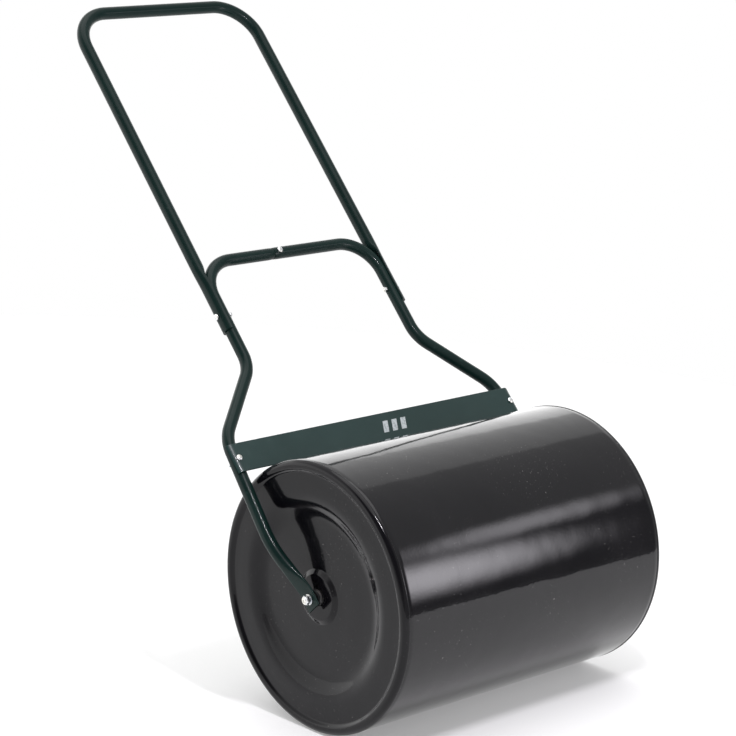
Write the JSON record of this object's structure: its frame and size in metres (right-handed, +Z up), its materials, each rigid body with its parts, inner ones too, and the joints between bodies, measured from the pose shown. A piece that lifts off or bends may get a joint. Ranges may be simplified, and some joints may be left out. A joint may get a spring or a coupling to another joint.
{
  "type": "lawn roller",
  "caption": "Hollow steel garden roller: water-fillable drum turning on an axle rod, bent tube yoke with scraper bar, and a long U-shaped push handle.",
  "frame": {"origin": "on the ground under the middle of the axle", "axes": "+X along the axle, from the plain end plate to the one with the filler; +Z up; the handle leans back towards +Y"},
  "size_m": [0.579, 0.9011, 0.9912],
  "materials": {
    "black_paint": "gloss black stoved paint",
    "green_paint": "dark green semi-gloss powder coat",
    "zinc": "bright zinc plating",
    "bare_steel": "plain steel tube",
    "nylon": "black moulded nylon",
    "seal_rubber": "black rubber"
  },
  "bodies": {
    "frame": {"axle_rod": "zinc", "hub_spacer_left": "nylon", "hub_spacer_right": "nylon", "axle_washer_left": "zinc", "axle_washer_right": "zinc", "axle_nut_left": "zinc", "axle_nut_right": "zinc", "lower_tube_left": "green_paint", "lower_tube_right": "green_paint", "crossbar_bolt": "zinc", "crossbar_nut": "zinc", "scraper_bar": "green_paint", "scraper_bolt_left": "zinc", "scraper_bolt_right": "zinc", "scraper_nut_left": "zinc", "scraper_nut_right": "zinc", "upper_handle": "green_paint", "handle_bolt_left": "zinc", "handle_bolt_right": "zinc", "handle_nut_left": "zinc", "handle_nut_right": "zinc"},
    "drum": {"drum_shell": "black_paint", "end_plate_left": "black_paint", "end_plate_right": "black_paint", "filler_collar": "bare_steel", "plug_seal": "seal_rubber", "filler_plug": "nylon", "axle_sleeve": "bare_steel", "bearing_bush_left": "nylon", "bearing_bush_right": "nylon"}
  },
  "joints": [
    {"name": "drum_spin", "type": "hinge", "parent": "frame", "child": "drum", "pos_m": [0, 0, 0.2], "axis": [1, 0, 0], "continuous": true}
  ]
}
